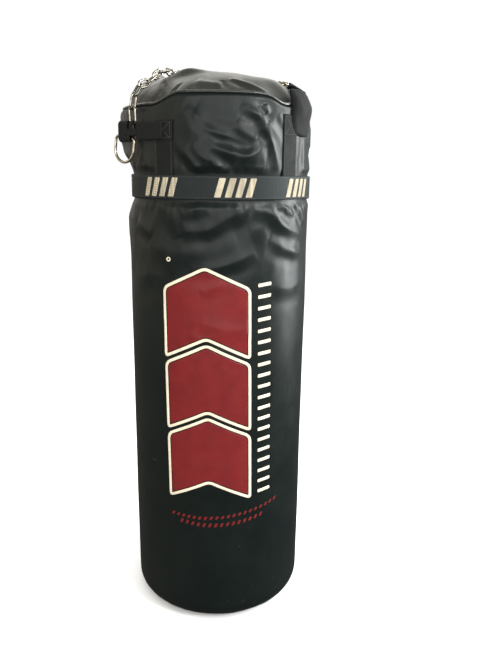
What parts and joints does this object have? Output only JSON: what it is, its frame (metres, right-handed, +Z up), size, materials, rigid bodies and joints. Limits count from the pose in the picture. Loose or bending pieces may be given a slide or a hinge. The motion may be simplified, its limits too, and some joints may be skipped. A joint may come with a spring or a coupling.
{
  "type": "hanging heavy punching bag",
  "caption": "Cylindrical stuffed punching bag in glossy black synthetic leather, with a woven band, webbing loops, D-rings and a slack hanging chain with a swivel.",
  "frame": {"origin": "centre of the flat base, on the floor", "axes": "+Z up along the bag, the printed side faces -Y, +X to the right of the printed side"},
  "size_m": [0.3746, 0.363, 1.0953],
  "materials": {
    "black_vinyl": "glossy synthetic leather with a printed side",
    "cap_vinyl": "glossy synthetic leather",
    "welt_vinyl": "glossy piping",
    "foam": "felted foam",
    "fibre_fill": "shredded textile",
    "sand_sack": "canvas sack of sand",
    "woven_band": "woven webbing with a cream motif",
    "black_webbing": "matt nylon webbing",
    "zinc_steel": "bright zinc plate",
    "nickel_steel": "polished nickel plate",
    "swivel_steel": "bright zinc plate"
  },
  "bodies": {
    "bag": {"shell_wall": "black_vinyl", "base_panel": "black_vinyl", "top_cap": "cap_vinyl", "top_pad": "foam", "top_welt": "welt_vinyl", "foam_liner": "foam", "base_pad": "foam", "fibre_fill": "fibre_fill", "sand_sacks": "sand_sack", "woven_band": "woven_band", "strap_1": "black_webbing", "strap_2": "black_webbing", "strap_3": "black_webbing", "strap_4": "black_webbing", "strap_2_flap": "black_webbing"},
    "loop_1": {"loop_1": "black_webbing"},
    "d_ring_1": {"d_ring_1": "nickel_steel"},
    "connector_1": {"connector_1": "zinc_steel"},
    "chain_1_lower": {"chain_1_lower": "zinc_steel"},
    "chain_1_upper": {"chain_1_upper": "zinc_steel"},
    "loop_2": {"loop_2": "black_webbing"},
    "d_ring_2": {"d_ring_2": "nickel_steel"},
    "connector_2": {"connector_2": "zinc_steel"},
    "chain_2_lower": {"chain_2_lower": "zinc_steel"},
    "chain_2_upper": {"chain_2_upper": "zinc_steel"},
    "loop_3": {"loop_3": "black_webbing"},
    "d_ring_3": {"d_ring_3": "nickel_steel"},
    "connector_3": {"connector_3": "zinc_steel"},
    "chain_3_lower": {"chain_3_lower": "zinc_steel"},
    "chain_3_upper": {"chain_3_upper": "zinc_steel"},
    "loop_4": {"loop_4": "black_webbing"},
    "d_ring_4": {"d_ring_4": "nickel_steel"},
    "connector_4": {"connector_4": "zinc_steel"},
    "chain_4_lower": {"chain_4_lower": "zinc_steel"},
    "chain_4_upper": {"chain_4_upper": "zinc_steel"},
    "collector_ring": {"collector_ring": "nickel_steel"},
    "swivel_housing": {"swivel_housing": "swivel_steel", "swivel_washer": "swivel_steel"},
    "swivel_eye": {"swivel_eye": "swivel_steel"}
  },
  "joints": [
    {"name": "loop_1_fold", "type": "hinge", "parent": "bag", "child": "loop_1", "pos_m": [-0.10021, -0.15432, 0.972], "axis": [0, 0, 1], "range_deg": [0, 45]},
    {"name": "d_ring_1_swing", "type": "hinge", "parent": "loop_1", "child": "d_ring_1", "pos_m": [-0.16924, -0.10127, 0.9623], "axis": [-0.8011, 0.5728, 0.1737], "range_deg": [0, 60]},
    {"name": "connector_1_tilt", "type": "hinge", "parent": "loop_1", "child": "connector_1", "pos_m": [-0.1537, -0.11238, 0.9847], "axis": [0.8135, -0.5816, 0], "range_deg": [0, 30]},
    {"name": "chain_1_lower_lift", "type": "hinge", "parent": "connector_1", "child": "chain_1_lower", "pos_m": [-0.15443, -0.1134, 1.00977], "axis": [0.8077, -0.5775, -0.1192], "range_deg": [0, 25]},
    {"name": "chain_1_upper_lift", "type": "hinge", "parent": "chain_1_lower", "child": "chain_1_upper", "pos_m": [-0.10914, -0.05355, 1.08089], "axis": [0.8356, -0.5049, 0.2164], "range_deg": [0, 30]},
    {"name": "loop_2_fold", "type": "hinge", "parent": "bag", "child": "loop_2", "pos_m": [0.15, -0.06, 1.05376], "axis": [0.8495, 0.3495, -0.3953], "range_deg": [0, 30]},
    {"name": "d_ring_2_swing", "type": "hinge", "parent": "loop_2", "child": "d_ring_2", "pos_m": [0.1427, -0.03752, 1.05794], "axis": [0.8435, 0.37, -0.3893], "range_deg": [0, 30]},
    {"name": "connector_2_tilt", "type": "hinge", "parent": "d_ring_2", "child": "connector_2", "pos_m": [0.12931, 0.00368, 1.06809], "axis": [0.8673, 0.2752, -0.4148], "range_deg": [0, 30]},
    {"name": "chain_2_lower_lift", "type": "hinge", "parent": "connector_2", "child": "chain_2_lower", "pos_m": [0.12562, 0.02107, 1.07268], "axis": [0.9163, -0.0703, -0.3942], "range_deg": [0, 25]},
    {"name": "chain_2_upper_lift", "type": "hinge", "parent": "chain_2_lower", "child": "chain_2_upper", "pos_m": [0.0827, 0.10768, 1.06574], "axis": [0.0778, 0.9232, -0.3763], "range_deg": [0, 30]},
    {"name": "loop_3_fold", "type": "hinge", "parent": "bag", "child": "loop_3", "pos_m": [0.12521, 0.13428, 1.027], "axis": [0.7314, -0.682, 0], "range_deg": [0, 60]},
    {"name": "d_ring_3_swing", "type": "hinge", "parent": "loop_3", "child": "d_ring_3", "pos_m": [0.12754, 0.13677, 0.98915], "axis": [0.7314, -0.682, 0], "range_deg": [0, 45]},
    {"name": "connector_3_tilt", "type": "hinge", "parent": "d_ring_3", "child": "connector_3", "pos_m": [0.12981, 0.1392, 0.94478], "axis": [0.7314, -0.682, 0], "range_deg": [0, 40]},
    {"name": "chain_3_lower_lift", "type": "hinge", "parent": "connector_3", "child": "chain_3_lower", "pos_m": [0.12957, 0.13894, 0.92666], "axis": [0.7314, -0.682, 0], "range_deg": [0, 30]},
    {"name": "chain_3_upper_lift", "type": "hinge", "parent": "chain_3_lower", "child": "chain_3_upper", "pos_m": [0.12957, 0.13894, 0.81006], "axis": [0.7314, -0.682, 0], "range_deg": [0, 30]},
    {"name": "loop_4_fold", "type": "hinge", "parent": "bag", "child": "loop_4", "pos_m": [-0.13207, 0.12754, 1.027], "axis": [0.6947, 0.7193, 0], "range_deg": [0, 60]},
    {"name": "d_ring_4_swing", "type": "hinge", "parent": "loop_4", "child": "d_ring_4", "pos_m": [-0.13452, 0.12991, 0.98915], "axis": [0.6947, 0.7193, 0], "range_deg": [0, 45]},
    {"name": "connector_4_tilt", "type": "hinge", "parent": "d_ring_4", "child": "connector_4", "pos_m": [-0.13692, 0.13222, 0.94478], "axis": [0.6947, 0.7193, 0], "range_deg": [0, 40]},
    {"name": "chain_4_lower_lift", "type": "hinge", "parent": "connector_4", "child": "chain_4_lower", "pos_m": [-0.13666, 0.13197, 0.92666], "axis": [0.6947, 0.7193, 0], "range_deg": [0, 30]},
    {"name": "chain_4_upper_lift", "type": "hinge", "parent": "chain_4_lower", "child": "chain_4_upper", "pos_m": [-0.13666, 0.13197, 0.81006], "axis": [0.6947, 0.7193, 0], "range_deg": [0, 30]},
    {"name": "collector_ring_lift", "type": "hinge", "parent": "chain_2_upper", "child": "collector_ring", "pos_m": [-0.01534, 0.10518, 1.07795], "axis": [0.0153, 0.977, -0.2126], "range_deg": [0, 30]},
    {"name": "swivel_tilt", "type": "hinge", "parent": "collector_ring", "child": "swivel_housing", "pos_m": [-0.05932, 0.10606, 1.07883], "axis": [0.0499, 0.9988, 0], "range_deg": [0, 30]},
    {"name": "swivel_spin", "type": "hinge", "parent": "swivel_housing", "child": "swivel_eye", "pos_m": [-0.12153, 0.10917, 1.07261], "axis": [-0.9938, 0.0497, -0.0994], "continuous": true}
  ]
}
